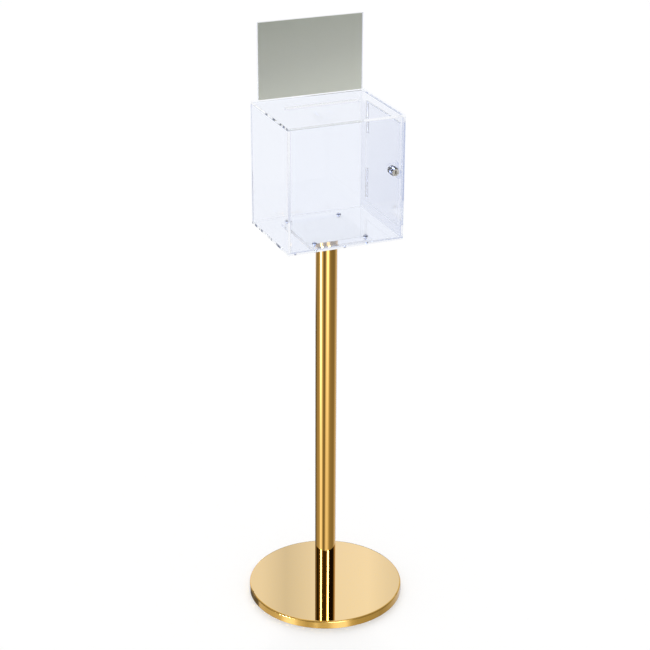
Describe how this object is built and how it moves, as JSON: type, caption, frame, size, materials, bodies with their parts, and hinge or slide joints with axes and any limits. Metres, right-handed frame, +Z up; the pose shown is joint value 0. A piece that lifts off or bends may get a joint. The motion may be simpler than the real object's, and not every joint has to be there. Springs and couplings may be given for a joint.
{
  "type": "ballot box",
  "caption": "Clear posting box with a top slot, hinged side door, push lock and sign pocket, carried by a polished post on a round weighted base.",
  "frame": {"origin": "centre of the base's underside, on the axis of the post", "axes": "+Z up along the post, -Y to the front of the box, +X to the side with the door"},
  "size_m": [0.3809, 0.381, 1.4321],
  "materials": {
    "gold_metal": "mirror-polished gold colour, the base's rim finely brushed round",
    "cast_weight": "dark paint over rough casting",
    "pad_rubber": "matt black",
    "white_rubber": "matt white",
    "plain_steel": "plain",
    "plug_metal": "turned",
    "clear_acrylic": "clear with a faint cool tint and polished edges",
    "hinge_plastic": "clear moulded",
    "bright_chrome": "bright",
    "lock_brass": "nickelled",
    "sign_stock": "satin card, bare on both sides"
  },
  "bodies": {
    "stand": {"base_pad": "pad_rubber", "base_weight": "cast_weight", "base_cover": "gold_metal", "base_washer": "plain_steel", "base_bolt": "plain_steel", "post_tube": "gold_metal", "post_foot": "plug_metal", "post_head": "plug_metal", "mounting_plate": "clear_acrylic", "plate_pad": "white_rubber", "plate_screws": "plain_steel", "floor_washers": "bright_chrome", "floor_screws": "bright_chrome", "floor_panel": "clear_acrylic", "top_panel": "clear_acrylic", "left_panel": "clear_acrylic", "right_panel": "clear_acrylic", "front_panel": "clear_acrylic", "back_panel": "clear_acrylic", "lower_hinge_frame_leaf": "hinge_plastic", "lower_hinge_pin": "plain_steel", "upper_hinge_frame_leaf": "hinge_plastic", "upper_hinge_pin": "plain_steel", "lock_sleeve": "bright_chrome", "lock_stop_pin": "plain_steel", "lock_washer": "bright_chrome", "lock_nut": "bright_chrome", "header_front_sheet": "clear_acrylic", "header_rear_sheet": "clear_acrylic", "header_left_strip": "clear_acrylic", "header_right_strip": "clear_acrylic"},
    "door": {"door_panel": "clear_acrylic", "door_pull": "clear_acrylic", "door_strike": "clear_acrylic", "lower_hinge_door_leaf": "hinge_plastic", "upper_hinge_door_leaf": "hinge_plastic"},
    "lock_core": {"lock_core": "bright_chrome", "lock_bolt": "plain_steel"},
    "key_plug": {"key_plug": "lock_brass"},
    "sign_card": {"sign_card": "sign_stock"}
  },
  "joints": [
    {"name": "door_swing", "type": "hinge", "parent": "stand", "child": "door", "pos_m": [0.1436, 0.0874, 1.109], "axis": [0, 0, 1], "range_deg": [0, 170]},
    {"name": "lock_push", "type": "slide", "parent": "stand", "child": "lock_core", "axis": [0, 1, 0], "range_m": [0, 0.0075], "stiffness_N_per_m": 200},
    {"name": "key_turn", "type": "hinge", "parent": "lock_core", "child": "key_plug", "pos_m": [0.1145, -0.124, 1.125], "axis": [0, 1, 0], "range_deg": [0, 90]},
    {"name": "card_lift", "type": "slide", "parent": "stand", "child": "sign_card", "axis": [0, 0, 1], "range_m": [0, 0.17]}
  ]
}
